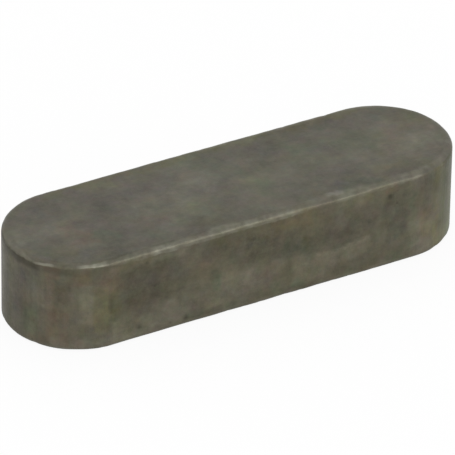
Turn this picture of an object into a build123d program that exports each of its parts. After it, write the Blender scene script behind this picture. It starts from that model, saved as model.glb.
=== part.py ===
from build123d import *
import os

# A parallel key with two round ends, cut from drawn rectangular key bar. All sizes in millimetres.

# driving dimensions
key_width = 12.0  # between the two flanks that carry the torque
key_height = 8.0  # from the shaft side to the hub side
key_length = 40.0  # over both round ends
edge_radius = 0.5  # broken edges round the top and the bottom face

os.makedirs("parts", exist_ok=True)

# The key lies flat on Z = 0, lengthwise along X, with the middle of its bottom face at the origin.
with BuildPart() as parallel_key:
    # plan of the milled blank: each end is one half circle as wide as the bar
    with BuildSketch(Plane.XY):
        SlotOverall(key_length, key_width)
    extrude(amount=key_height)

    # one continuous rounded edge runs along both flanks and round both ends, top and bottom
    flat_faces = parallel_key.faces().filter_by(Axis.Z)
    fillet(flat_faces.edges(), radius=edge_radius)

parallel_key.part.label = "parallel_key"
export_step(parallel_key.part, "parts/parallel_key.step")
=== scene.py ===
import math

import bpy
import numpy as np
from mathutils import Matrix, Vector, geometry, noise


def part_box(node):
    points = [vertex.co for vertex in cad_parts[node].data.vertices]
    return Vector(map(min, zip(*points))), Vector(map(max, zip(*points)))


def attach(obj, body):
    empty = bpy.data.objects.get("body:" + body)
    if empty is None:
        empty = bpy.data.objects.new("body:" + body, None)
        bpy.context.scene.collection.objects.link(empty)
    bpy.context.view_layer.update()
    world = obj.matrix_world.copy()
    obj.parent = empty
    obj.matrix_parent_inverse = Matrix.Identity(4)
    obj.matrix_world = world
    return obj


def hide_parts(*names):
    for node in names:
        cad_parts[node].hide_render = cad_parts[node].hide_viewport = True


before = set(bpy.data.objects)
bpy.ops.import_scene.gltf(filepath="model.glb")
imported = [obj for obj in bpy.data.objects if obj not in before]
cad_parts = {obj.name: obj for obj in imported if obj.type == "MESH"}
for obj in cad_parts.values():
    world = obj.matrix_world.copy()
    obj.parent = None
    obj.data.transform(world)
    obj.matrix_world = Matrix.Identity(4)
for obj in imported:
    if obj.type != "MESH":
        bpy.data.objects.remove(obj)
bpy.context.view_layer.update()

mm = 0.001  # lengths are in mm, apart from those of the studio and the camera's clipping
keyLow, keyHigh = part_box("parallel_key")
halfLength = (keyHigh.x - keyLow.x) / 2 / mm
halfWidth = (keyHigh.y - keyLow.y) / 2 / mm
keyHeight = (keyHigh.z - keyLow.z) / mm
halfStraight = halfLength - halfWidth  # from the middle to where a round end starts
endArc = math.pi * halfWidth  # length of the outline round one end
quarterTurn = math.pi / 2

noiseGain = 1.6  # brings the noise to about -1 to 1
noiseSteps = (17.3, 5.1, 29.7)  # how far the noise of one seed lies from that of the next


def smooth(value, start, end):
    # 0 before the start and 1 after the end, with a soft change between them
    t = np.clip((np.asarray(value, float) - start) / (end - start), 0, 1)
    return t * t * (3 - 2 * t)


def bump(value, middle, half, soft):
    # 1 within half of the middle, falling to 0 over soft on both sides
    return 1 - smooth(np.abs(np.asarray(value, float) - middle), half, half + soft)


def band(value, start, full, fade, end):
    # rises from the start till it is full, and fades out again towards the end
    return smooth(value, start, full) * (1 - smooth(value, fade, end))


def noiseAt(points, size, seed):
    # smooth noise, size is the width of a blotch in mm
    shift = Vector([seed * step for step in noiseSteps])
    return np.array([noise.noise(Vector(p) / size + shift) for p in points]) * noiseGain


def noiseSum(points, layers, base=0.0):
    # each layer is the strength, size and seed of one noise
    total = base
    for strength, size, seed in layers:
        total = total + strength * noiseAt(points, size, seed)
    return total


keyShape = dict(
    edgeRadius=0.5,
    lowEdgeRadius=0.42,
    # how the broken edges wander from their radius: mm, size, seed
    topEdgePlay=((0.03, 3.1, 1), (0.025, 0.9, 2)),
    lowEdgePlay=((0.05, 2.3, 3),),
    alongStep=0.16,  # mesh spacing round the outline
    roundingRows=9,
    closeRows=(0.06, 0.13, 0.21, 0.31, 0.43),  # down from the top edge, where a dark line lies
    wallStep=0.21,  # spacing of the rows further down
    capRings=(0.08, 0.2, 0.36, 0.56, 0.8, 1.08),  # inwards from the rounding
    capGrid=0.34,  # mesh spacing inside the rings
    capGap=0.7,  # from the last ring to the grid, in grid steps
    insideDistance=-9.0,  # stands for the distance of the grid points from the edge
)


def onCircle(degrees):
    return math.cos(math.radians(degrees)), math.sin(math.radians(degrees))


def outlineStations():
    # round the key from the middle of the far side, past the left end to the near side and on
    straight = round(2 * halfStraight / keyShape["alongStep"])
    turn = round(endArc / keyShape["alongStep"])
    half = straight // 2
    farLeft = [(-halfStraight * i / half, 0, 1) for i in range(half)]
    leftEnd = [(-halfStraight, *onCircle(90 + 180 * i / turn)) for i in range(turn)]
    near = [(-halfStraight + 2 * halfStraight * i / straight, 0, -1) for i in range(straight)]
    rightEnd = [(halfStraight, *onCircle(-90 + 180 * i / turn)) for i in range(turn)]
    farRight = [(halfStraight * (1 - i / half), 0, 1) for i in range(half)]
    stations = np.array(farLeft + leftEnd + near + rightEnd + farRight)
    centreX, outX, outY = stations.T
    edge = np.c_[centreX + halfWidth * outX, halfWidth * outY]
    steps = np.linalg.norm(np.roll(edge, -1, 0) - edge, axis=1)
    along = np.r_[0, np.cumsum(steps)[:-1]]
    along -= along[half + turn] + halfStraight  # 0 is the middle of the near side
    return centreX, outX, outY, along


def profileRows():
    # part and amount of each row: from inside the top flat to its edge, down the wall and in below
    rows = [("top", d) for d in reversed(keyShape["capRings"])]
    turns = keyShape["roundingRows"]
    rows += [("topEdge", i / turns) for i in range(turns + 1)]
    wall = keyHeight - 2 * keyShape["edgeRadius"]
    close = list(keyShape["closeRows"])
    rest = wall - close[-1]
    steps = round(rest / keyShape["wallStep"])
    depths = close + [close[-1] + rest * i / steps for i in range(1, steps)]
    rows += [("wall", d / wall) for d in depths]
    rows += [("bottomEdge", i / turns) for i in range(turns + 1)]
    rows += [("bottom", d) for d in keyShape["capRings"]]
    return rows


def fillFlat(ring):
    # points of a triangle grid inside the ring, joined to it
    step = keyShape["capGrid"]
    rowStep = step * math.sqrt(3) / 2
    lastRing = keyShape["edgeRadius"] + keyShape["capRings"][-1]
    room = halfWidth - lastRing - step * keyShape["capGap"]
    inner = []
    rows = int(room / rowStep)
    for row in range(-rows, rows + 1):
        y = row * rowStep
        shift = step / 2 if row % 2 else 0
        columns = int((halfStraight + room) / step) + 1
        for column in range(-columns, columns + 1):
            x = column * step + shift
            beyond = max(0, abs(x) - halfStraight)
            if math.hypot(beyond, y) < room:
                inner.append((x, y))
    points = [Vector(p) for p in ring] + [Vector(p) for p in inner]
    loop = list(range(len(ring)))
    insideOnly, tolerance = 1, 1e-7
    made = geometry.delaunay_2d_cdt(points, [], [loop], insideOnly, tolerance)
    back = [ids[0] for ids in made[3]]
    triangles = []
    for face in made[2]:
        a, b, c = (back[v] for v in face)
        pa, pb, pc = points[a], points[b], points[c]
        turn = (pb - pa).x * (pc - pa).y - (pb - pa).y * (pc - pa).x
        triangles.append((a, b, c) if turn > 0 else (a, c, b))
    return np.array(inner), triangles


def rowForm(part, amount, topRadius, lowRadius):
    # a row's inset from the outline, height, tilt, and distance from the edge of the nearer flat
    radius = keyShape["edgeRadius"]
    upper = part in ("top", "topEdge")
    r = topRadius if upper else lowRadius
    count = len(r)
    if part in ("top", "bottom"):
        inset = r + amount + (radius - r) * amount / keyShape["capRings"][-1]
        z = np.full(count, keyHeight if upper else 0.0)
        tilt = np.full(count, quarterTurn if upper else -quarterTurn)
        fromEdge = np.full(count, -amount)
    elif part in ("topEdge", "bottomEdge"):
        turn = (amount if upper else 1 - amount) * quarterTurn
        inset = r * (1 - math.sin(turn))
        drop = r * (1 - math.cos(turn))
        z = keyHeight - drop if upper else drop
        tilt = np.full(count, quarterTurn - turn if upper else turn - quarterTurn)
        fromEdge = np.full(count, radius * turn)
    else:
        wallTop = keyHeight - topRadius
        inset = np.zeros(count)
        z = wallTop + (lowRadius - wallTop) * amount
        tilt = np.zeros(count)
        fromEdge = radius * quarterTurn + np.minimum(wallTop - z, z - lowRadius)
    return inset, z, tilt, fromEdge


def buildKeyMesh():
    # points, normals, distance from the edge, length along the outline, faces and points per row
    centreX, outX, outY, along = outlineStations()
    count = len(along)
    outline = np.c_[centreX + halfWidth * outX, halfWidth * outY, np.zeros(count)]
    topRadius = noiseSum(outline, keyShape["topEdgePlay"], keyShape["edgeRadius"])
    lowRadius = noiseSum(outline, keyShape["lowEdgePlay"], keyShape["lowEdgeRadius"])
    places, normals, distance = [], [], []
    for part, amount in profileRows():
        inset, z, tilt, fromEdge = rowForm(part, amount, topRadius, lowRadius)
        across = halfWidth - inset
        places.append(np.c_[centreX + across * outX, across * outY, z])
        normals.append(np.c_[outX * np.cos(tilt), outY * np.cos(tilt), np.sin(tilt)])
        distance.append(fromEdge)
    lastRow = (len(places) - 1) * count
    faces = []
    for start in range(0, lastRow, count):
        for i in range(count):
            j = (i + 1) % count
            faces.append((start + i, start + count + i, start + count + j, start + j))
    # both flats are filled inside their last ring by one even triangulation
    inner, triangles = fillFlat(places[0][:, :2])
    topStart = lastRow + count
    lowStart = topStart + len(inner)
    for a, b, c in triangles:
        faces.append(tuple(v if v < count else topStart + v - count for v in (a, b, c)))
        faces.append(tuple(v + lastRow if v < count else lowStart + v - count for v in (c, b, a)))
    upwards = np.tile((0.0, 0, 1), (len(inner), 1))
    alongAll = np.r_[np.tile(along, len(places)), np.zeros(2 * len(inner))]
    places += [np.c_[inner, np.full(len(inner), z)] for z in (keyHeight, 0)]
    normals += [upwards, -upwards]
    distance.append(np.full(2 * len(inner), keyShape["insideDistance"]))
    return np.vstack(places), np.vstack(normals), np.hstack(distance), alongAll, faces, count


# places on the walls are given by the length along the outline, 0 in the middle of the near side
keyWearAndLight = dict(
    # slight waves of all faces: depth, size, seed
    unevenness=((0.006, 5.0, 5), (0.003, 1.1, 6)),
    # small chips on the edges: depth, size, seed, and how high the noise rises before a chip starts
    chips=(0.035, 0.75, 7, 0.35),
    chipBand=(0.4, 0.2, 0.3),  # across the edge: middle, half width, softness
    # where the broken top edge is rubbed bright and carries a painted highlight: from, to, strength
    rubbedSheen=(
        (-26.0, -20.2, 0.22),
        (-21.0, -18.3, 0.68),
        (-19.4, -16.6, 0.06),
        (-17.3, -13.9, 0.7),
        (-15.2, -10.0, 0.17),
        (-11.0, -7.6, 0.48),
        (-8.4, -3.6, 0.27),
        (-4.8, 3.8, 0.29),
        (-1.2, 1.3, 0.42),
        (3.0, 7.0, 0.06),
        (3.2, 5.6, 0.13),
        (5.9, 9.1, 0.24),
        (8.0, 14.8, 0.18),
        (11.6, 15.4, 0.24),
        (14.4, 16.2, 0.16),
        (15.2, 19.5, 0.07),
        (15.9, 18.3, 0.2),
    ),
    rubbedSheenSoft=1.1,
    rubbedSheenMost=1.2,
    rubbedSheenFlicker=((0.14, 1.0, 13), (0.5, 0.42, 15)),  # strength, size, seed
    # beyond these ends the top edge is rubbed bright, with its painted highlight, by chance, and so is
    # all of the low edge, but less
    rubbedSheenReach=(-24, 20),
    chanceLevel=0.165,
    chancePlay=((0.165, 2.2, 11), (0.121, 0.7, 12)),
    lowEdgeShare=0.5,
    # where a dark line of painted shade lies right under the top edge: from, to, strength
    shadeLine=(
        (-30.0, -22.6, 0.6),
        (-24.0, -19.6, 0.68),
        (-20.4, -16.6, 0.35),
        (-17.4, -13.6, 0.1),
        (-7.6, 3.8, 0.14),
    ),
    darkSoft=1.0,
    # where the dark line lies higher: middle, half length, softness, how much
    darkRise=(-25.0, 1.5, 3.0, 0.16),
    # the far flank has a faint one from this far on: strength, then strength, size, seed of its play
    farDarkFrom=30,
    farDarkLevel=0.2,
    farDarkPlay=((0.2, 3.0, 14),),
    # pits: along the outline, height, radius, depth
    pits=(
        (11.5, 6.55, 0.28, 0.07),
        (-10.95, 6.85, 0.3, 0.04),
        (-11.25, 4.3, 0.32, 0.03),
        (-11.6, 1.1, 0.3, 0.045),
        (-7.3, 0.7, 0.36, 0.05),
        (9.6, 4.7, 0.24, 0.03),
        (-9.2, 3.2, 0.16, 0.02),
        (-3.6, 6.9, 0.14, 0.02),
    ),
    pitSteepness=1.6,
    # the dark spot in each pit: steepness, and strength for each mm of depth, up to 1
    stainSteepness=1.8,
    pitStain=13,
    wallFrom=0.5,  # distance from the flat where the stains of the walls start
    flatNormal=0.9,  # and how upright the normal is where those of the flats do
    # where the rubbed line with its painted highlight lies: along the outline, down from the flat, how
    # many times narrower
    lineForm=(
        (-22.4, 0.42, 1.3),
        (-20.8, 0.64, 3.0),
        (-18.6, 0.62, 3.0),
        (-17.2, 0.55, 2.8),
        (-15.8, 0.52, 2.4),
        (-14.6, 0.54, 1.5),
        (-13.2, 0.6, 1.1),
        (-12.0, 0.66, 1.0),
        (-8.0, 0.66, 1.0),
        (-6.0, 0.63, 1.0),
        (0.0, 0.63, 1.0),
        (1.2, 0.68, 1.25),
        (2.4, 0.68, 1.25),
        (3.2, 0.63, 1.0),
        (4.2, 0.46, 0.9),
        (5.2, 0.6, 1.0),
        (11.6, 0.6, 1.0),
        (12.8, 0.48, 0.85),
        (14.0, 0.4, 0.8),
        (15.2, 0.26, 1.2),
        (17.0, 0.36, 1.0),
    ),
    lineWander=((0.07, 1.0, 33),),
    # edge of an old stain on the near flank, with painted reflection of the floor lighter below it:
    # along the outline, height, strength
    tideLine=(
        (-13.4, 2.1, 0.0),
        (-11.5, 2.6, 0.2),
        (-9.0, 3.0, 0.25),
        (-6.5, 4.1, 0.17),
        (-3.0, 4.4, 0.2),
        (0.0, 3.9, 0.12),
        (3.2, 3.45, 0.25),
        (4.6, 3.35, 0.67),
        (5.6, 3.05, 0.6),
        (6.4, 2.95, 0.75),
        (7.4, 3.2, 1.0),
        (8.7, 3.3, 0.95),
        (10.2, 3.7, 0.2),
        (12.0, 3.0, 0.0),
    ),
    tideRagged=((0.12, 1.1, 31), (0.05, 0.4, 32)),
    # painted reflection of the floor below it and dark above it: strength, then where that starts, is
    # full, fades and ends
    tideLight=(0.74, -0.06, 0.12, 0.1, 0.9),
    tideDark=(0.48, -0.08, 0.2, 0.1, 1.2),
    # hammered stretches of the near top edge: middle, half length, depth, widening of the rubbed line
    # and its painted highlight
    bruises=((7.0, 1.9, 0.05, 0.35), (-3.9, 0.4, 0.012, 0.3)),
    # softness along the edge, then middle, half width and softness across it
    bruiseReach=(1.0, -0.1, 0.35, 0.45),
    wideningReach=(1.2, -0.1, 0.3, 0.5),
)


def onUpperHalf(places):
    return places[:, 2] > keyHeight / 2


def pitShape(places, along, spot, steepness):
    placeAlong, height, radius = spot
    away = np.hypot(along - placeAlong, places[:, 2] - height) / radius
    return np.exp(-away * away * steepness)


def bruiseShape(places, distance, along, stretch, reach):
    softAlong, *across = reach
    return bump(along, *stretch, softAlong) * bump(distance, *across) * onUpperHalf(places)


def wearDepth(places, distance, along):
    # how far each point lies below the clean surface, in mm
    depth = np.zeros(len(places))
    for deep, size, seed in keyWearAndLight["unevenness"]:
        depth += deep * (0.5 + 0.5 * noiseAt(places, size, seed))
    deep, size, seed, level = keyWearAndLight["chips"]
    chips = np.clip(noiseAt(places, size, seed) - level, 0, 1)
    depth += deep * bump(distance, *keyWearAndLight["chipBand"]) * chips
    for *spot, deep in keyWearAndLight["pits"]:
        depth += (distance > 0) * deep * pitShape(places, along, spot, keyWearAndLight["pitSteepness"])
    for *stretch, deep, _ in keyWearAndLight["bruises"]:
        depth += deep * bruiseShape(places, distance, along, stretch, keyWearAndLight["bruiseReach"])
    return np.clip(depth, 0, None)


def alongMask(stretches, along, soft):
    mask = np.zeros(len(along))
    for start, end, strength in stretches:
        mask = np.maximum(mask, strength * band(along, start, start + soft, end - soft, end))
    return mask


def edgeMasks(places, along):
    # how bright the broken edge is rubbed and painted as a highlight, and how dark the line of painted
    # shade beneath it is
    top = onUpperHalf(places)
    start, end = keyWearAndLight["rubbedSheenReach"]
    listed = top * (along > start) * (along < end)
    flicker = noiseSum(places, keyWearAndLight["rubbedSheenFlicker"], 1)
    chance = noiseSum(places, keyWearAndLight["chancePlay"], keyWearAndLight["chanceLevel"])
    rubbedSheen = alongMask(keyWearAndLight["rubbedSheen"], along, keyWearAndLight["rubbedSheenSoft"]) * flicker
    rubbedSheen = np.where(listed, rubbedSheen, chance)
    rubbedSheen = np.where(top, rubbedSheen, rubbedSheen * keyWearAndLight["lowEdgeShare"])
    dark = alongMask(keyWearAndLight["shadeLine"], along, keyWearAndLight["darkSoft"])
    farDark = noiseSum(places, keyWearAndLight["farDarkPlay"], keyWearAndLight["farDarkLevel"])
    dark = np.where(np.abs(along) > keyWearAndLight["farDarkFrom"], farDark, dark) * top
    return np.clip(rubbedSheen, 0, keyWearAndLight["rubbedSheenMost"]), np.clip(dark, 0, 1)


def rubbedSheenLinePlace(places, distance, along):
    # 0 in the middle of the rubbed line with its painted highlight, less above it and more below it
    place = noiseSum(places, keyWearAndLight["lineWander"], distance)
    for *stretch, _, widening in keyWearAndLight["bruises"]:
        place += widening * bruiseShape(places, distance, along, stretch, keyWearAndLight["wideningReach"])
    formAlong, middle, narrowing = zip(*keyWearAndLight["lineForm"])
    return (place - np.interp(along, formAlong, middle)) * np.interp(along, formAlong, narrowing)


def pitStains(places, distance, along):
    # the dark spots in the pits
    mask = np.zeros(len(places))
    wall = distance > keyWearAndLight["wallFrom"]
    for *spot, deep in keyWearAndLight["pits"]:
        strength = min(1, deep * keyWearAndLight["pitStain"])
        shape = pitShape(places, along, spot, keyWearAndLight["stainSteepness"])
        mask = np.maximum(mask, wall * strength * shape)
    return mask


stainForm = dict(
    # how the outlines of the stains are warped: mm, size, seed
    warpA=((0.55, 1.6, 21), (0.3, 0.5, 22)),
    warpB=((0.55, 1.6, 23), (0.3, 0.5, 24)),
    wallShare=(0.45, 0.4),  # how much of the warps counts on the walls, along and in height
    endNarrowing=0.5,  # the milled ends hold stains in upright bands
    # the stains of the far flank are warped more, and that starts this far before its ends
    farWarpA=((1.5, 4.0, 25),),
    farWarpB=((1.5, 4.0, 26),),
    farSoft=2,
)

# on the walls: along the outline, height, half length, half height, softness, strength
wallStains = dict(
    rustStain=(
        (-19.2, 4.4, 0.25, 2.4, 0.5, 0.45),
        (-18.6, 2.1, 0.8, 1.3, 0.6, 0.65),
        (-19.0, 7.15, 0.6, 0.3, 0.4, 1.0),
        (-16.6, 6.6, 0.5, 0.4, 0.6, 0.65),
        (-14.3, 6.3, 0.5, 0.7, 0.6, 0.4),
        (-12.2, 3.3, 0.15, 0.4, 0.4, 0.4),
        (-5.6, 4.9, 0.3, 0.3, 0.4, 0.3),
        (-3.4, 3.9, 0.2, 0.4, 0.4, 0.4),
        (-3.0, 6.6, 0.5, 0.3, 0.6, 0.35),
        (2.7, 6.6, 2.0, 0.4, 0.8, 0.4),
        (3.2, 5.6, 0.6, 0.3, 0.7, 0.45),
        (0.2, 5.3, 0.12, 1.2, 0.35, 0.4),
        (0.5, 3.0, 0.7, 0.4, 0.6, 0.4),
        (11.7, 7.3, 0.5, 0.1, 0.3, 0.6),
        (14.6, 4.4, 0.15, 2.0, 0.3, 0.35),
        (15.1, 3.8, 0.5, 0.6, 0.6, 0.55),
        (16.8, 1.7, 0.3, 0.3, 0.5, 0.6),
        (38.5, 2.6, 1.8, 0.9, 1.4, 0.5),
        (-37.0, 5.5, 0.9, 1.2, 1.0, 0.4),
        (27.5, 3.0, 0.5, 3.5, 0.6, 0.4),
    ),
    oilFilm=(
        (-15.0, 3.7, 0.5, 1.6, 0.8, 0.8),
        (-16.4, 4.0, 0.4, 0.9, 0.7, 0.25),
        (-13.9, 4.3, 0.3, 0.9, 0.5, 0.75),
        (-16.4, 6.8, 0.5, 0.3, 0.6, 0.4),
        (-12.0, 7.2, 1.4, 0.1, 0.4, 0.35),
        (-4.5, 7.2, 0.6, 0.2, 0.4, 0.4),
        (0.0, 6.9, 2.4, 0.5, 0.6, 0.55),
        (3.0, 6.6, 0.8, 0.3, 0.6, 0.5),
        (9.0, 7.2, 0.7, 0.2, 0.4, 0.4),
        (3.6, 4.4, 0.2, 0.5, 0.3, 0.4),
        (15.6, 3.0, 0.9, 0.9, 0.7, 0.45),
        (17.8, 4.0, 1.6, 3.4, 1.4, 0.9),
        (-24.6, 4.0, 1.2, 3.4, 1.4, 0.8),
        (-27.0, 4.0, 0.6, 3.0, 5.0, 0.6),
        (20.0, 4.0, 0.8, 3.0, 4.0, 0.7),
        (34.0, 4.4, 3.0, 1.6, 1.6, 0.4),
        (-41.5, 2.4, 3.2, 0.8, 1.6, 0.35),
    ),
    blueOxide=(
        (-23.2, 4.0, 1.3, 3.6, 1.0, 0.2),
        (-21.2, 6.0, 0.7, 0.9, 0.9, 0.4),
        (-0.2, 5.2, 0.8, 0.6, 0.8, 0.2),
        (1.8, 4.4, 1.0, 0.4, 0.7, 0.15),
        (9.2, 4.8, 0.9, 0.5, 0.7, 0.15),
        (12.2, 3.8, 0.6, 1.2, 0.7, 0.3),
        (42.5, 5.4, 2.4, 1.0, 1.4, 0.5),
        (24.0, 4.6, 1.8, 2.6, 1.2, 0.45),
    ),
    violetOxide=(
        (-22.4, 5.4, 0.8, 1.2, 0.8, 0.15),
        (-11.4, 6.0, 1.2, 0.4, 0.6, 0.2),
        (-8.0, 5.2, 1.6, 0.4, 0.7, 0.2),
        (-0.8, 2.2, 1.2, 0.4, 0.6, 0.2),
        (6.0, 5.0, 1.2, 0.6, 0.7, 0.25),
        (9.8, 5.0, 1.2, 0.5, 0.7, 0.2),
        (8.8, 1.4, 0.6, 0.4, 0.5, 0.4),
    ),
    greenOxide=(
        (-21.0, 2.3, 0.5, 1.0, 0.8, 0.9),
        (-4.6, 3.3, 0.25, 0.6, 0.4, 0.95),
        (-4.9, 4.2, 0.15, 0.2, 0.4, 0.9),
        (-6.6, 0.8, 0.8, 0.15, 0.4, 0.7),
        (2.6, 4.7, 0.7, 0.5, 0.7, 0.8),
        (3.0, 0.9, 0.4, 0.2, 0.4, 0.8),
        (12.0, 0.9, 0.6, 0.2, 0.4, 0.7),
        (8.3, 5.6, 0.4, 0.2, 0.4, 0.5),
        (13.8, 4.6, 0.12, 1.8, 0.35, 0.7),
        (17.8, 4.2, 0.9, 2.8, 0.8, 0.9),
        (19.0, 4.0, 0.6, 2.6, 3.6, 0.85),
    ),
    darkOxide=(
        (-23.2, 4.4, 1.6, 3.4, 1.6, 0.5),
        (-22.0, 7.0, 1.6, 0.2, 0.4, 0.35),
        (-24.8, 4.2, 1.1, 3.6, 1.2, 0.95),
        (-26.6, 4.0, 0.5, 3.2, 6.0, 0.8),
        (-1.0, 4.1, 1.3, 0.25, 0.7, 0.42),
        (10.2, 6.0, 0.5, 0.4, 0.8, 0.45),
        (10.6, 3.8, 0.8, 0.4, 0.8, 0.42),
        (5.8, 6.0, 0.6, 0.3, 0.7, 0.32),
        (18.4, 6.9, 0.8, 1.0, 1.6, 0.62),
        (-18.1, 5.4, 0.5, 0.9, 0.7, 0.4),
        (-10.9, 4.9, 1.6, 1.2, 1.2, 0.5),
        (-9.0, 4.9, 1.2, 0.4, 1.0, 0.3),
        (-3.6, 6.2, 3.4, 0.5, 0.7, 0.32),
        (-0.4, 5.4, 1.1, 0.9, 1.0, 0.72),
        (4.4, 4.5, 4.4, 0.4, 0.6, 0.45),
        (9.0, 4.7, 1.3, 0.6, 0.7, 0.4),
        (4.6, 5.5, 4.4, 0.3, 0.6, 0.2),
        (12.0, 4.6, 0.8, 1.8, 0.8, 0.44),
        (15.2, 6.2, 1.2, 0.7, 0.8, 0.2),
        (-14.1, 4.2, 0.1, 0.7, 0.4, 0.45),
        (-4.7, 4.1, 0.25, 0.25, 0.4, 0.35),
        (-5.4, 0.6, 1.2, 0.1, 0.4, 0.35),
        (1.0, 0.5, 3.6, 0.1, 0.4, 0.25),
        (9.2, 0.7, 1.2, 0.1, 0.4, 0.3),
        (37.0, 5.4, 1.4, 0.6, 2.2, 0.5),
        (-38.5, 3.6, 1.2, 0.7, 2.2, 0.5),
    ),
    # bare steel, and painted light: the patches on the lower flank and by the bottom edge stand in for
    # the floor's reflection, and those just under the top edge carry the skirt of the edge highlight
    bareSteelAndSheen=(
        (-19.5, 4.6, 0.3, 0.9, 0.6, 0.32),
        (-20.1, 4.4, 0.4, 1.6, 0.7, 0.2),
        (-16.1, 4.3, 0.5, 1.4, 0.9, 0.4),
        (-15.0, 3.6, 0.4, 1.9, 0.8, 0.36),
        (-13.0, 1.3, 0.8, 0.6, 0.9, 0.42),
        (-9.6, 1.4, 2.2, 0.35, 0.7, 0.45),
        (-8.2, 2.1, 0.9, 0.5, 0.7, 0.44),
        (-3.0, 2.9, 2.4, 0.7, 1.2, 0.32),
        (-4.4, 1.8, 0.8, 0.5, 0.8, 0.32),
        (3.9, 1.9, 1.3, 0.7, 0.7, 0.32),
        (5.6, 2.5, 1.5, 0.4, 0.7, 0.28),
        (8.0, 2.6, 1.1, 0.3, 0.6, 0.3),
        (-9.8, 7.1, 2.0, 0.2, 0.4, 0.32),
        (-13.0, 7.0, 1.2, 0.2, 0.5, 0.22),
        (8.0, 7.1, 0.8, 0.15, 0.5, 0.3),
        (14.0, 7.0, 0.6, 0.3, 0.6, 0.3),
        (-6.2, 2.1, 2.0, 0.4, 0.9, 0.34),
        (-21.8, 1.3, 1.0, 0.5, 0.9, 0.28),
        (-16.0, 0.8, 3.0, 0.2, 0.6, 0.46),
        (-12.2, 1.0, 1.0, 0.3, 0.6, 0.6),
        (16.6, 1.0, 2.6, 0.3, 0.8, 0.56),
        (15.0, 2.2, 1.2, 1.0, 1.0, 0.45),
        (16.2, 4.2, 0.6, 1.2, 0.9, 0.2),
        (44.0, 2.2, 1.4, 0.3, 1.8, 0.4),
        (-44.5, 5.8, 0.8, 0.4, 1.6, 0.35),
    ),
)

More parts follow.
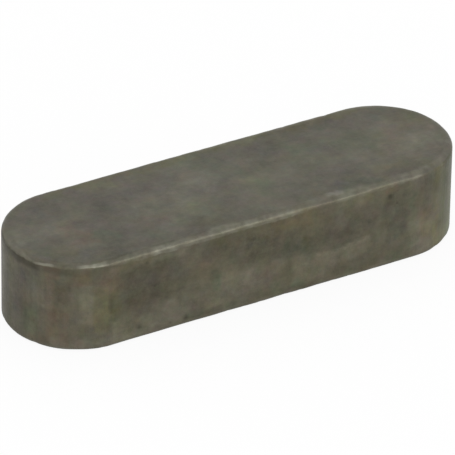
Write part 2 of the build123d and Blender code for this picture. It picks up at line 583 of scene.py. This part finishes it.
# on both flats: x, y, half length, half width, softness, strength
flatStains = dict(
    rustStain=(
        (-14.7, -1.1, 0.8, 1.0, 0.7, 0.9),
        (-8.0, -2.0, 0.8, 0.4, 0.7, 0.4),
        (16.0, 0.4, 1.1, 0.5, 0.8, 0.5),
        (18.6, 0.6, 0.2, 0.8, 0.5, 0.35),
        (12.9, -4.2, 0.4, 0.2, 0.4, 0.45),
        (-7.2, 5.0, 0.4, 0.1, 0.4, 0.3),
        (9.5, 5.1, 2.6, 0.3, 0.6, 0.27),
    ),
    oilFilm=(
        (1.0, 5.3, 14.5, 0.3, 0.6, 0.68),
        (-8.6, 4.5, 0.6, 0.3, 0.6, 0.45),
        (-13.8, 1.0, 0.8, 0.3, 0.7, 0.3),
        (-17.0, -3.1, 1.0, 0.4, 0.7, 0.4),
        (-6.6, -0.4, 1.2, 0.8, 0.9, 0.2),
        (1.2, -1.0, 1.6, 0.7, 0.8, 0.2),
        (-5.2, -2.2, 0.9, 0.7, 0.8, 0.15),
        (17.5, 2.0, 0.9, 0.8, 0.8, 0.45),
        (14.6, -1.4, 1.6, 0.7, 0.8, 0.3),
        (13.6, -4.3, 2.2, 0.9, 0.9, 0.35),
        (-4.4, -4.2, 0.7, 0.4, 0.6, 0.3),
        (8.2, 4.6, 0.4, 0.3, 0.5, 0.4),
    ),
    blueOxide=(
        (-15.0, -4.3, 0.7, 0.2, 0.5, 0.3),
        (7.6, -4.3, 0.4, 0.3, 0.4, 0.6),
        (-18.6, -2.2, 0.3, 0.8, 0.6, 0.35),
    ),
    violetOxide=(
        (-16.6, 2.2, 1.3, 1.2, 0.9, 0.8),
        (-9.0, 0.6, 7.5, 1.6, 2.0, 0.3),
        (-12.0, 3.9, 1.2, 0.4, 0.7, 0.7),
        (-9.8, 2.4, 1.8, 0.8, 0.9, 0.75),
        (-10.1, -0.4, 0.5, 1.5, 0.8, 0.7),
        (-7.0, 3.8, 0.6, 0.5, 0.6, 0.7),
        (-11.0, -3.4, 0.5, 0.7, 0.7, 0.5),
        (-8.6, -1.8, 0.5, 0.3, 0.6, 0.4),
        (1.6, 3.6, 0.4, 0.4, 0.6, 0.4),
        (5.6, 2.9, 1.0, 0.5, 0.8, 0.6),
        (9.4, 3.6, 0.7, 0.6, 0.7, 0.55),
        (12.9, 3.5, 0.9, 0.6, 0.7, 0.55),
        (9.0, -2.2, 1.8, 0.6, 1.0, 0.35),
        (6.6, -5.1, 0.4, 0.15, 0.4, 0.8),
    ),
    greenOxide=(
        (0.3, 2.0, 1.0, 1.0, 0.9, 0.6),
        (-0.4, 4.1, 0.8, 0.3, 0.7, 0.6),
        (2.0, -1.6, 0.8, 0.6, 0.8, 0.65),
        (8.4, 1.7, 1.2, 0.4, 0.7, 0.6),
        (12.0, 0.6, 1.3, 1.0, 0.8, 0.6),
        (-12.8, -2.2, 0.5, 0.6, 0.6, 0.6),
        (-4.2, -2.6, 0.6, 0.6, 0.7, 0.6),
        (-8.8, -4.1, 0.8, 0.4, 0.7, 0.5),
        (11.0, 4.2, 0.4, 0.3, 0.5, 0.6),
        (15.6, 3.4, 0.5, 0.5, 0.6, 0.6),
        (9.0, -5.0, 1.2, 0.2, 0.5, 0.8),
        (-16.2, 0.4, 0.5, 0.4, 0.6, 0.2),
        (-6.6, -0.2, 0.8, 0.4, 0.6, 0.3),
    ),
    darkOxide=(
        (-16.5, 3.3, 2.0, 0.8, 0.9, 0.3),
        (-11.0, 2.5, 0.9, 0.9, 0.9, 0.24),
        (-7.6, 2.6, 1.2, 0.5, 0.8, 0.12),
        (-11.4, 0.0, 0.7, 1.4, 0.9, 0.18),
        (5.4, 2.9, 1.4, 1.0, 1.0, 0.28),
        (5.0, 1.9, 0.5, 0.6, 0.7, 0.16),
        (9.5, 4.5, 4.0, 0.5, 0.9, 0.3),
        (11.8, 3.2, 2.4, 0.3, 0.8, 0.12),
        (-14.0, -4.4, 2.0, 0.7, 0.9, 0.38),
        (-12.4, -2.9, 0.8, 0.6, 0.8, 0.2),
        (-17.4, -3.7, 0.9, 0.4, 0.8, 0.36),
        (11.8, 4.3, 1.4, 0.4, 0.9, 0.48),
        (15.4, -4.3, 1.0, 0.3, 0.8, 0.26),
        (-4.4, -4.4, 0.6, 0.6, 0.8, 0.34),
        (-3.0, -3.0, 0.5, 0.7, 0.8, 0.2),
        (-7.0, -5.2, 6.0, 0.2, 0.6, 0.2),
        (11.2, -5.1, 2.8, 0.2, 0.6, 0.36),
        (4.3, -4.8, 1.4, 0.4, 0.7, 0.16),
        (7.6, -4.1, 0.8, 0.3, 0.7, 0.3),
        (8.0, -2.9, 0.7, 0.2, 0.7, 0.14),
        (4.8, 4.7, 1.0, 0.1, 0.4, 0.34),
    ),
    bareSteelAndSheen=(
        (-17.2, 0.5, 1.4, 0.6, 0.9, 0.28),
        (-13.8, 1.1, 1.0, 0.3, 0.8, 0.2),
        (-7.0, 0.0, 0.9, 1.1, 1.0, 0.27),
        (-5.5, -1.7, 1.1, 1.1, 1.0, 0.35),
        (-7.2, -3.0, 0.7, 0.4, 0.7, 0.22),
        (-3.6, 0.6, 1.4, 1.1, 1.1, 0.24),
        (-2.0, 1.8, 1.0, 0.7, 0.9, 0.32),
        (-3.0, 3.5, 1.0, 0.5, 0.8, 0.18),
        (1.5, -0.9, 1.3, 0.6, 0.9, 0.25),
        (4.1, -0.6, 1.3, 0.5, 0.9, 0.18),
        (6.6, 0.2, 0.7, 0.5, 0.8, 0.17),
        (11.2, -1.3, 0.8, 0.3, 0.8, 0.18),
        (16.0, -1.5, 2.1, 0.9, 1.0, 0.32),
        (15.6, 0.8, 1.8, 0.8, 0.9, 0.15),
        (16.3, -1.5, 0.2, 0.15, 0.4, 0.6),
        (-8.8, 4.0, 0.4, 0.4, 0.6, 0.22),
        (6.6, -5.15, 0.5, 0.1, 0.3, 0.5),
        (2.2, 5.5, 4.2, 0.2, 0.35, 0.2),
    ),
)


def addTideLine(masks, places, along):
    # a sharp light rim that fades downwards, painted reflection of the floor at the stain's edge, and a
    # darker rim above it
    s, z, strength = zip(*keyWearAndLight["tideLine"])
    ragged = noiseSum(places, keyWearAndLight["tideRagged"])
    below = np.interp(along, s, z) - places[:, 2] + ragged
    strength = np.interp(along, s, strength) * (places[:, 1] < 0)
    for name, rim, away in (("bareSteelAndSheen", "tideLight", below), ("darkOxide", "tideDark", -below)):
        rimStrength, *reach = keyWearAndLight[rim]
        masks[name] = np.maximum(masks[name], rimStrength * band(away, *reach) * strength)


def stainMasks(places, normals, distance, along):
    # how strong each kind of stain is at each point
    upward = normals[:, 2] > keyWearAndLight["flatNormal"]
    downward = normals[:, 2] < -keyWearAndLight["flatNormal"]
    wall = distance > keyWearAndLight["wallFrom"]
    x, y, z = places.T
    warpA = noiseSum(places, stainForm["warpA"])
    warpB = noiseSum(places, stainForm["warpB"])
    farEnd = halfStraight + endArc
    onEnd = (np.abs(along) > halfStraight) * (np.abs(along) < farEnd)
    narrowing = np.where(onEnd, stainForm["endNarrowing"], 1)
    farSide = smooth(np.abs(along), farEnd - stainForm["farSoft"], farEnd)
    farWarpA = farSide * noiseSum(places, stainForm["farWarpA"])
    farWarpB = farSide * noiseSum(places, stainForm["farWarpB"])
    shareAlong, shareUp = stainForm["wallShare"]
    wallAlong = along + warpA * shareAlong * narrowing + farWarpA
    wallUp = z + warpB * shareUp + farWarpB
    masks = {}
    for name in wallStains:
        mask = np.zeros(len(places))
        for placeAlong, height, halfLong, halfTall, soft, strength in wallStains[name]:
            across = bump(wallAlong, placeAlong, halfLong, soft * narrowing)
            spot = across * bump(wallUp, height, halfTall, soft)
            mask = np.maximum(mask, strength * spot * wall)
        for placeX, placeY, halfLong, halfWide, soft, strength in flatStains[name]:
            above = bump(x + warpA, placeX, halfLong, soft) * bump(y + warpB, placeY, halfWide, soft)
            under = bump(x + warpB, -placeX, halfLong, soft) * bump(y + warpA, placeY, halfWide, soft)
            mask = np.maximum(mask, strength * np.where(upward, above, under * downward))
        masks[name] = mask
    addTideLine(masks, places, along)
    return masks


def newGroup(name, inputs, outputs):
    group = bpy.data.node_groups.new(name, "ShaderNodeTree")
    for label, kind, value in inputs:
        socket = group.interface.new_socket(name=label, in_out="INPUT", socket_type=kind)
        if value is not None:
            socket.default_value = value
    for label, kind in outputs:
        group.interface.new_socket(name=label, in_out="OUTPUT", socket_type=kind)
    start = group.nodes.new("NodeGroupInput")
    end = group.nodes.new("NodeGroupOutput")
    return group, start, end


def put(tree, kind, **settings):
    # adds a node: inputs are given as in_Name or in_0, the rest are the node's own settings
    node = tree.nodes.new(kind)
    for key in [k for k in settings if not k.startswith("in_")]:
        setattr(node, key, settings[key])
    for key in [k for k in settings if k.startswith("in_")]:
        name = key[3:].replace("_", " ")
        socket = node.inputs[int(name)] if name.isdigit() else node.inputs[name]
        value = settings[key]
        if isinstance(value, bpy.types.NodeSocket):
            tree.links.new(value, socket)
        else:
            socket.default_value = value
    return node


def mixColour(tree, share, a, b, blend="MIX"):
    node = put(tree, "ShaderNodeMix", data_type="RGBA", blend_type=blend)
    for socket, value in ((node.inputs[0], share), (node.inputs[6], a), (node.inputs[7], b)):
        if isinstance(value, bpy.types.NodeSocket):
            tree.links.new(value, socket)
        else:
            socket.default_value = value
    return node.outputs[2]


def maths(tree, operation, a, b=0.0, clamp=False):
    return put(tree, "ShaderNodeMath", operation=operation, use_clamp=clamp, in_0=a, in_1=b).outputs[0]


def ranged(tree, value, low, high, toLow=0.0, toHigh=1.0, soft=True):
    node = put(tree, "ShaderNodeMapRange", in_0=value, in_1=low, in_2=high, in_3=toLow, in_4=toHigh)
    node.interpolation_type = "SMOOTHSTEP" if soft else "LINEAR"
    return node.outputs[0]


def between(tree, share, none, full):
    # from the first value at a share of 0 to the second at 1
    return ranged(tree, share, 0.0, 1.0, none, full, soft=False)


def centred(tree, value, reach=0.25):
    # noise that keeps within this reach of 0.5, turned to -1 to 1
    return ranged(tree, value, 0.5 - reach, 0.5 + reach, -1.0, 1.0, soft=False)


def around(tree, level, strength):
    # a factor that goes this much above and below 1
    return maths(tree, "ADD", maths(tree, "MULTIPLY", level, strength), 1.0)


def shadeBand(tree, value, start, full, fade, end):
    # the same as band, in nodes
    rise = ranged(tree, value, start, full)
    return maths(tree, "MULTIPLY", rise, ranged(tree, value, fade, end, 1.0, 0.0))


def attribute(tree, name):
    return put(tree, "ShaderNodeAttribute", attribute_name=name).outputs["Fac"]


def noiseTexture(tree, place, scale, detail, roughness):
    settings = dict(in_Vector=place, in_Scale=scale, in_Detail=detail, in_Roughness=roughness)
    return put(tree, "ShaderNodeTexNoise", **settings).outputs


def multiplied(tree, colour, factor):
    return mixColour(tree, 1.0, colour, factor, "MULTIPLY")


def combined(tree, red, green, blue):
    return put(tree, "ShaderNodeCombineColor", in_0=red, in_1=green, in_2=blue).outputs[0]


def grey(level):
    return (level, level, level, 1)


def linear(r, g, b):
    # a colour written 0 to 255 as it shows, turned to the linear values that a shader takes
    def one(v):
        v /= 255
        return v / 12.92 if v <= 0.04045 else ((v + 0.055) / 1.055) ** 2.4

    return (one(r), one(g), one(b), 1)


def buildOxideMottle():
    # cloudy light and dark, a slow change between a cool and a warm tone, and faint tints over both
    group, start, end = newGroup(
        "oxideMottle",
        (
            ("Place", "NodeSocketVector", None),
            ("Cool", "NodeSocketColor", grey(0.13)),
            ("Warm", "NodeSocketColor", grey(0.13)),
            ("Cloud Size", "NodeSocketFloat", 2.4),
            ("Cloud Strength", "NodeSocketFloat", 0.2),
            ("Tint Strength", "NodeSocketFloat", 0.05),
        ),
        (("Color", "NodeSocketColor"), ("Cloud", "NodeSocketFloat"), ("Grain", "NodeSocketFloat")),
    )
    place = start.outputs["Place"]
    away = (31.0, 7.0, 13.0)  # keeps the clouds from following the tones
    moved = put(group, "ShaderNodeVectorMath", operation="ADD", in_0=place, in_1=away).outputs[0]
    tonesPerCloud, tintsPerCloud = 0.8, 1.6
    cloudScale = maths(group, "DIVIDE", 1.0, start.outputs["Cloud Size"])
    toneScale = maths(group, "MULTIPLY", cloudScale, tonesPerCloud)
    tintScale = maths(group, "MULTIPLY", cloudScale, tintsPerCloud)
    tone = noiseTexture(group, place, toneScale, detail=3.0, roughness=0.6)[0]
    warmShare = ranged(group, tone, low=0.38, high=0.62)
    colour = mixColour(group, warmShare, start.outputs["Cool"], start.outputs["Warm"])
    cloud = centred(group, noiseTexture(group, moved, cloudScale, detail=6.0, roughness=0.8)[0])
    shade = around(group, cloud, start.outputs["Cloud Strength"])
    tints = noiseTexture(group, moved, tintScale, detail=4.0, roughness=0.85)[1]
    shades = []
    for part in put(group, "ShaderNodeSeparateColor", in_0=tints).outputs[:3]:
        tint = around(group, centred(group, part), start.outputs["Tint Strength"])
        shades.append(maths(group, "MULTIPLY", tint, shade))
    grain = noiseTexture(group, place, scale=3.2, detail=3.0, roughness=0.7)[0]
    group.links.new(multiplied(group, colour, combined(group, *shades)), end.inputs["Color"])
    group.links.new(cloud, end.inputs["Cloud"])
    group.links.new(centred(group, grain), end.inputs["Grain"])
    return group


stainTints = dict(
    rustStain=(1.11, 0.965, 0.965, 1),
    oilFilm=(1.0, 1.0, 0.8, 1),
    blueOxide=(0.945, 0.98, 1.16, 1),
    violetOxide=(0.98, 0.945, 1.045, 1),
    greenOxide=(0.89, 0.995, 0.95, 1),
    darkOxide=(0.61, 0.605, 0.6, 1),
    # lightens bare steel and the painted light of the same mask
    bareSteelAndSheen=(1.6, 1.62, 1.66, 1),
)


def buildStainLayer():
    # the stains painted on the mesh, painted light in the bare steel mask among them, broken up by fine
    # noise and laid over a colour
    group, start, end = newGroup(
        "stainLayer",
        (
            ("Place", "NodeSocketVector", None),
            ("Color", "NodeSocketColor", grey(0.13)),
            ("Amount", "NodeSocketFloat", 1.0),
        ),
        (("Color", "NodeSocketColor"),),
    )
    colour = start.outputs["Color"]
    ragged = noiseTexture(group, start.outputs["Place"], scale=0.8, detail=5.0, roughness=0.7)[0]
    breaks = ranged(group, ragged, low=0.3, high=0.7, toLow=0.45, toHigh=1.35)
    amount = maths(group, "MULTIPLY", breaks, start.outputs["Amount"])
    for name in stainTints:
        share = maths(group, "MULTIPLY", attribute(group, name), amount, clamp=True)
        colour = mixColour(group, share, colour, multiplied(group, colour, stainTints[name]))
    group.links.new(colour, end.inputs["Color"])
    return group


# where each line starts, is full, fades and ends, in mm down the edge
edgeLines = dict(
    # the rubbed line with its painted highlight
    rubbedSheen=(-0.65, -0.2, 0.19, 0.36),  # from the line's own middle
    # the dark line of painted shade under the top edge
    under=(0.58, 0.78, 1.02, 1.5),  # from the flat
)


def buildEdgeWearAndLight():
    # mask of the rubbed line with its painted highlight on the broken edges, and of the dark line of
    # painted shade under it
    group, start, end = newGroup(
        "edgeWearAndLight",
        (
            ("Place", "NodeSocketVector", None),
            ("Raggedness", "NodeSocketFloat", 0.07),
        ),
        (("Line", "NodeSocketFloat"), ("Under", "NodeSocketFloat")),
    )
    ragged = noiseTexture(group, start.outputs["Place"], scale=2.2, detail=3.0, roughness=0.6)[0]
    shift = maths(group, "MULTIPLY", centred(group, ragged, reach=0.2), start.outputs["Raggedness"])
    for line, place, mask, output in (
        ("rubbedSheen", "linePlace", "edgeRubbedSheen", "Line"),
        ("under", "edgeDistance", "edgeShade", "Under"),
    ):
        wavy = maths(group, "ADD", attribute(group, place), shift)
        shape = shadeBand(group, wavy, *edgeLines[line])
        shown = maths(group, "MULTIPLY", shape, attribute(group, mask), clamp=True)
        group.links.new(shown, end.inputs[output])
    return group


def buildToolMarks():
    # fine parallel marks: the place is stretched so that they run one way
    group, start, end = newGroup(
        "toolMarks",
        (
            ("Place", "NodeSocketVector", None),
            ("Run", "NodeSocketVector", (1, 1, 1)),
            ("Scale", "NodeSocketFloat", 3.0),
        ),
        (("Level", "NodeSocketFloat"),),
    )
    place, run, scale = (start.outputs[name] for name in ("Place", "Run", "Scale"))
    stretched = put(group, "ShaderNodeVectorMath", operation="MULTIPLY", in_0=place, in_1=run).outputs[0]
    marks = noiseTexture(group, stretched, scale, detail=4.0, roughness=0.65)[0]
    group.links.new(centred(group, marks), end.inputs["Level"])
    return group


def buildSpecks():
    # sparse small dark pits
    group, start, end = newGroup(
        "rustSpecks",
        (
            ("Place", "NodeSocketVector", None),
            ("Spacing", "NodeSocketFloat", 1.5),
            ("Share", "NodeSocketFloat", 0.22),
        ),
        (("Speck", "NodeSocketFloat"),),
    )
    place, spacing, share = (start.outputs[name] for name in ("Place", "Spacing", "Share"))
    perMm = maths(group, "DIVIDE", 1.0, spacing)
    cells = put(group, "ShaderNodeTexVoronoi", in_Vector=place, in_Scale=perMm).outputs
    pick = put(group, "ShaderNodeSeparateColor", in_0=cells["Color"]).outputs[0]
    chosen = maths(group, "LESS_THAN", pick, share)
    smallest, largest = 0.05, 0.12  # in parts of a cell
    size = between(group, maths(group, "DIVIDE", pick, share), smallest, largest)
    away = maths(group, "DIVIDE", cells["Distance"], size)
    spot = ranged(group, away, low=0.4, high=1.4, toLow=1.0, toHigh=0.0)
    speck = maths(group, "MULTIPLY", spot, chosen)
    group.links.new(speck, end.inputs["Speck"])
    return group


finish = dict(
    topCool=linear(98, 95, 84.8),
    topWarm=linear(97.2, 95.2, 82.8),
    # the flanks and ends are browner than the flats: tarnish, with a painted reflection of a brownish
    # floor
    wallCool=linear(100, 96.3, 82.8),
    wallWarm=linear(99.5, 96, 80),
    endCool=linear(99, 95.4, 82.6),
    endWarm=linear(99.5, 95.6, 80.6),
    # bright metal of the rubbed edge, made brighter still as a painted highlight
    rubbedSheen=linear(142, 141, 127),
    pit=linear(55, 54, 44),
    # colour of the dark line of painted shade under the top edge
    underEdgeShade=linear(62, 60, 50),
    # how upright the normal is where a face starts to count as a flat, and where it fully does
    flatTilt=(0.3, 0.65),
    cloudSize=2.4,
    topCloud=0.36,
    wallCloud=0.34,
    tint=0.085,
    stainAmount=1.0,
    lineRaggedness=0.07,
    # marks of the tools: how stretched they are along each axis, how dense and how strong
    flankRun=(0.12, 1, 1),
    endRun=(1, 1, 0.06),
    markScale=3.0,
    flankMarks=0.03,
    endMarks=0.055,
    flatMarks=0.012,
    # specks of rust: spacing, share of the places that have one, and strength
    speckSpacing=1.5,
    speckShare=0.22,
    wallSpecks=0.28,
    flatSpecks=0.08,
    roughness=0.47,
    roughnessPlay=0.05,
    grainRoughness=0.03,
    rubbedRoughness=0.4,
    # relief of the surface: shares of each part, strength and height
    wallMarkRelief=1.0,
    flatMarkRelief=0.25,
    grainRelief=0.6,
    speckRelief=3.0,
    reliefStrength=0.5,
    reliefHeight=0.012 * mm,
)


def steelMaterial(name, groups, cool, warm, marksRun, wallMarks):
    material = bpy.data.materials.new(name)
    material.use_nodes = True
    tree = material.node_tree
    tree.nodes.clear()
    inMetres = put(tree, "ShaderNodeTexCoord").outputs["Object"]
    scaled = put(tree, "ShaderNodeVectorMath", operation="SCALE", in_0=inMetres, in_Scale=1 / mm)
    place = scaled.outputs[0]

    def placed(group, **settings):
        return put(tree, "ShaderNodeGroup", node_tree=groups[group], in_Place=place, **settings).outputs

    # the flats of the bar are greyer and more even than its flanks, whose browner colour is tarnish with
    # a painted reflection of a brownish floor
    normal = put(tree, "ShaderNodeNewGeometry").outputs["True Normal"]
    upright = maths(tree, "ABSOLUTE", put(tree, "ShaderNodeSeparateXYZ", in_0=normal).outputs[2])
    flat = ranged(tree, upright, *finish["flatTilt"])
    mottle = placed(
        "mottle",
        in_Cool=mixColour(tree, flat, cool, finish["topCool"]),
        in_Warm=mixColour(tree, flat, warm, finish["topWarm"]),
        in_Cloud_Size=finish["cloudSize"],
        in_Cloud_Strength=between(tree, flat, finish["wallCloud"], finish["topCloud"]),
        in_Tint_Strength=finish["tint"],
    )
    marks = placed("marks", in_Run=marksRun, in_Scale=finish["markScale"])[0]
    marked = around(tree, marks, between(tree, flat, wallMarks, finish["flatMarks"]))
    colour = multiplied(tree, mottle["Color"], combined(tree, marked, marked, marked))
    colour = placed("stains", in_Color=colour, in_Amount=finish["stainAmount"])["Color"]
    specks = placed("specks", in_Spacing=finish["speckSpacing"], in_Share=finish["speckShare"])[0]
    speckStrength = between(tree, flat, finish["wallSpecks"], finish["flatSpecks"])
    specksShown = maths(tree, "MULTIPLY", specks, speckStrength)
    holes = maths(tree, "MAXIMUM", specksShown, attribute(tree, "pitDark"), clamp=True)
    colour = mixColour(tree, holes, colour, finish["pit"])
    edge = placed("edge", in_Raggedness=finish["lineRaggedness"])
    # the dark line of painted shade under the top edge
    colour = mixColour(tree, edge["Under"], colour, finish["underEdgeShade"])
    # the rubbed line: bright metal and a painted highlight
    colour = mixColour(tree, edge["Line"], colour, finish["rubbedSheen"])

    even, play = finish["roughness"], finish["roughnessPlay"]
    rough = ranged(tree, mottle["Cloud"], -1.0, 1.0, even - play, even + play)
    grainRough = maths(tree, "MULTIPLY", mottle["Grain"], finish["grainRoughness"])
    rough = maths(tree, "ADD", rough, grainRough)
    polish = maths(tree, "MULTIPLY", edge["Line"], finish["rubbedRoughness"] - even)
    rough = maths(tree, "ADD", rough, polish, clamp=True)

    markShare = between(tree, flat, finish["wallMarkRelief"], finish["flatMarkRelief"])
    relief = maths(tree, "MULTIPLY", mottle["Grain"], finish["grainRelief"])
    relief = maths(tree, "ADD", relief, maths(tree, "MULTIPLY", marks, markShare))
    relief = maths(tree, "SUBTRACT", relief, maths(tree, "MULTIPLY", specks, finish["speckRelief"]))
    raised = put(
        tree,
        "ShaderNodeBump",
        in_Strength=finish["reliefStrength"],
        in_Distance=finish["reliefHeight"],
        in_Height=relief,
    )
    shader = put(
        tree,
        "ShaderNodeBsdfPrincipled",
        in_Base_Color=colour,
        in_Metallic=1.0,
        in_Roughness=rough,
        in_Normal=raised.outputs[0],
    )
    output = put(tree, "ShaderNodeOutputMaterial")
    tree.links.new(shader.outputs[0], output.inputs[0])
    return material


def makeSteels():
    # the drawn finish of the bar and the milled one of its ends
    groups = dict(
        mottle=buildOxideMottle(),
        stains=buildStainLayer(),
        edge=buildEdgeWearAndLight(),
        marks=buildToolMarks(),
        specks=buildSpecks(),
    )
    drawn = ("wallCool", "wallWarm", "flankRun", "flankMarks")
    milled = ("endCool", "endWarm", "endRun", "endMarks")
    return [
        steelMaterial(name, groups, *(finish[key] for key in keys))
        for name, keys in (("drawnSteel", drawn), ("milledSteel", milled))
    ]


def makeKey():
    places, normals, distance, along, faces, count = buildKeyMesh()
    depth = wearDepth(places, distance, along)
    rubbedSheen, dark = edgeMasks(places, along)
    *riseReach, rise = keyWearAndLight["darkRise"]
    masks = dict(
        stainMasks(places, normals, distance, along),
        edgeDistance=distance + rise * bump(along, *riseReach),
        linePlace=rubbedSheenLinePlace(places, distance, along),
        edgeRubbedSheen=rubbedSheen,
        edgeShade=dark,
        pitDark=pitStains(places, distance, along),
    )
    mesh = bpy.data.meshes.new("wornKeyBar")
    mesh.from_pydata(((places - normals * depth[:, None]) * mm).tolist(), [], faces)
    mesh.polygons.foreach_set("use_smooth", [True] * len(mesh.polygons))
    for name in masks:
        layer = mesh.attributes.new(name, "FLOAT", "POINT")
        layer.data.foreach_set("value", masks[name].astype(np.float32))
    for material in makeSteels():
        mesh.materials.append(material)
    # the milled finish covers the walls and edges of both ends
    rows = profileRows()
    slots = np.zeros(len(mesh.polygons), np.int32)
    middle = np.abs(along[:count] + keyShape["alongStep"] / 2)
    onEnd = (middle > halfStraight) * (middle < halfStraight + endArc)
    for row in range(len(rows) - 1):
        if rows[row][0] != "top" and rows[row + 1][0] != "bottom":
            slots[row * count : (row + 1) * count] = onEnd
    mesh.polygons.foreach_set("material_index", slots)
    mesh.update()
    key = bpy.data.objects.new("wornKey", mesh)
    bpy.context.scene.collection.objects.link(key)
    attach(key, "root")
    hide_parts("parallel_key")
    triangleCount = sum(len(face.vertices) - 2 for face in mesh.polygons)
    print("key:", len(mesh.vertices), "points,", triangleCount, "triangles")


studio = dict(
    floorHalf=3.0,
    floorShade=0.9,
    floorDrop=0.01,  # mm below the key
    worldLight=1.0,
    # how far the floor is plain white to the camera, so that its shadow stays faint, and in mirrors
    cameraWhite=0.92,
    mirrorWhite=0.6,
    lamps=(
        # name, direction from the key, distance, size, watts
        ("frontLamp", (0.42, -0.88, 0.24), 0.5, 0.16, 0.2),
        ("leftLamp", (-0.08, -0.97, 0.24), 0.5, 0.16, 0.12),
        ("overLamp", (0.1, 0.2, 1.0), 0.7, 0.5, 0.25),
    ),
)


def mirrorRays(tree, path):
    # 1 for rays that a mirror or glass sends on
    return maths(tree, "ADD", path["Is Glossy Ray"], path["Is Transmission Ray"], clamp=True)


def makeFloor():
    half = studio["floorHalf"]
    mesh = bpy.data.meshes.new("paleFloor")
    corners = [(-half, -half, 0), (half, -half, 0), (half, half, 0), (-half, half, 0)]
    mesh.from_pydata(corners, [], [(0, 1, 2, 3)])
    material = bpy.data.materials.new("paleFloor")
    material.use_nodes = True
    tree = material.node_tree
    tree.nodes.clear()
    matte = put(tree, "ShaderNodeBsdfDiffuse", in_Color=grey(studio["floorShade"]))
    white = put(tree, "ShaderNodeEmission", in_Color=grey(1.0), in_Strength=1.0)
    path = put(tree, "ShaderNodeLightPath").outputs
    direct = maths(tree, "MULTIPLY", path["Is Camera Ray"], studio["cameraWhite"])
    mirrored = maths(tree, "MULTIPLY", mirrorRays(tree, path), studio["mirrorWhite"])
    share = maths(tree, "ADD", direct, mirrored, clamp=True)
    both = put(tree, "ShaderNodeMixShader", in_0=share, in_1=matte.outputs[0], in_2=white.outputs[0])
    output = put(tree, "ShaderNodeOutputMaterial")
    tree.links.new(both.outputs[0], output.inputs[0])
    mesh.materials.append(material)
    floor = bpy.data.objects.new("paleFloor", mesh)
    floor.location.z = keyLow.z - studio["floorDrop"] * mm
    bpy.context.scene.collection.objects.link(floor)


def makeWorld():
    world = bpy.data.worlds.new("studioWorld")
    world.use_nodes = True
    tree = world.node_tree
    tree.nodes.clear()
    path = put(tree, "ShaderNodeLightPath").outputs
    seen = maths(tree, "ADD", path["Is Camera Ray"], mirrorRays(tree, path), clamp=True)
    strength = between(tree, seen, studio["worldLight"], 1.0)
    light = put(tree, "ShaderNodeBackground", in_Color=grey(1.0), in_Strength=strength)
    output = put(tree, "ShaderNodeOutputWorld")
    tree.links.new(light.outputs[0], output.inputs[0])
    bpy.context.scene.world = world


def makeLamps():
    middle = Vector((0, 0, keyHeight / 2 * mm))
    for name, towards, distance, size, watts in studio["lamps"]:
        data = bpy.data.lights.new(name, "AREA")
        data.shape = "DISK"
        data.size = size
        data.energy = watts
        lamp = bpy.data.objects.new(name, data)
        towards = Vector(towards).normalized()
        lamp.location = middle + towards * distance
        lamp.rotation_mode = "QUATERNION"
        lamp.rotation_quaternion = towards.to_track_quat("Z", "Y")
        bpy.context.scene.collection.objects.link(lamp)


cameraView = dict(
    azimuth=-30.36,
    elevation=31.39,
    roll=0.99,
    distance=480.0,
    focalLength=470.9,
    # the camera stands this far left of the line to the key's middle, and below it
    stepLeft=0.12,
    stepDown=0.19,
    clipStart=0.01,
    clipEnd=20,
)


def makeCamera():
    azimuth = math.radians(cameraView["azimuth"])
    elevation = math.radians(cameraView["elevation"])
    roll = math.radians(cameraView["roll"])
    flatBack = Vector((math.sin(azimuth), -math.cos(azimuth), 0))
    back = flatBack * math.cos(elevation) + Vector((0, 0, math.sin(elevation)))
    right = Vector((math.cos(azimuth), math.sin(azimuth), 0))
    up = back.cross(right)
    rolledRight = math.cos(roll) * right + math.sin(roll) * up
    rolledUp = math.cos(roll) * up - math.sin(roll) * right
    place = Vector((0, 0, keyHeight / 2)) + cameraView["distance"] * back
    place -= cameraView["stepLeft"] * rolledRight + cameraView["stepDown"] * rolledUp
    data = bpy.data.cameras.new("studioCamera")
    data.lens = cameraView["focalLength"]
    data.clip_start, data.clip_end = cameraView["clipStart"], cameraView["clipEnd"]
    camera = bpy.data.objects.new("studioCamera", data)
    turn = Matrix((rolledRight, rolledUp, back)).transposed().to_4x4()
    camera.matrix_world = Matrix.Translation(place * mm) @ turn
    bpy.context.scene.collection.objects.link(camera)
    bpy.context.scene.camera = camera


bpy.context.scene.view_settings.view_transform = "Standard"
makeCamera()
print("camera set")
makeKey()
makeFloor()
makeWorld()
makeLamps()
print("studio set")
